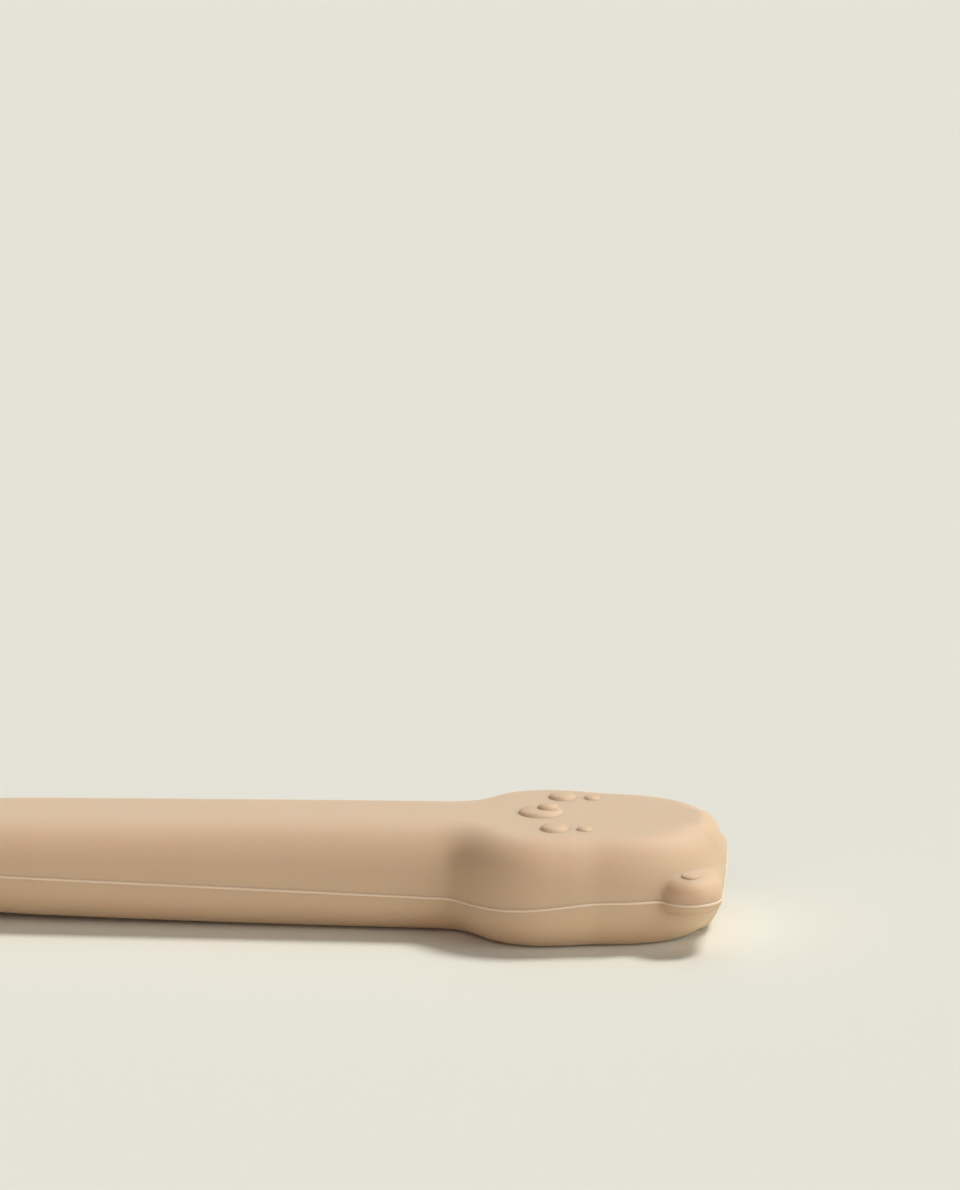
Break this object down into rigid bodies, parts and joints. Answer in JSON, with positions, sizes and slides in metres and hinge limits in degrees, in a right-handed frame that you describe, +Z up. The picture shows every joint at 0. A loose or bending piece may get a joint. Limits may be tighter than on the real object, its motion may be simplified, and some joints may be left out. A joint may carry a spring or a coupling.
{
  "type": "baby spoon",
  "caption": "Soft silicone baby spoon with an oval bowl and a chunky handle that ends in a flat animal head with round ears, stiffened by a core inside.",
  "frame": {"origin": "on the table under the middle of the spoon's bounding box", "axes": "+X along the spoon from the bowl to the head, +Z up out of the flat face"},
  "size_m": [0.15, 0.03, 0.0121],
  "materials": {
    "silicone": "matte",
    "core_plastic": "matte"
  },
  "bodies": {
    "root": {"rigid_core": "core_plastic", "grip_sleeve": "silicone", "soft_bowl": "silicone", "bear_head": "silicone", "left_ear": "silicone", "right_ear": "silicone", "inner_ears": "silicone", "muzzle": "silicone", "nose": "silicone", "eyes": "silicone", "cheeks": "silicone"}
  },
  "joints": []
}
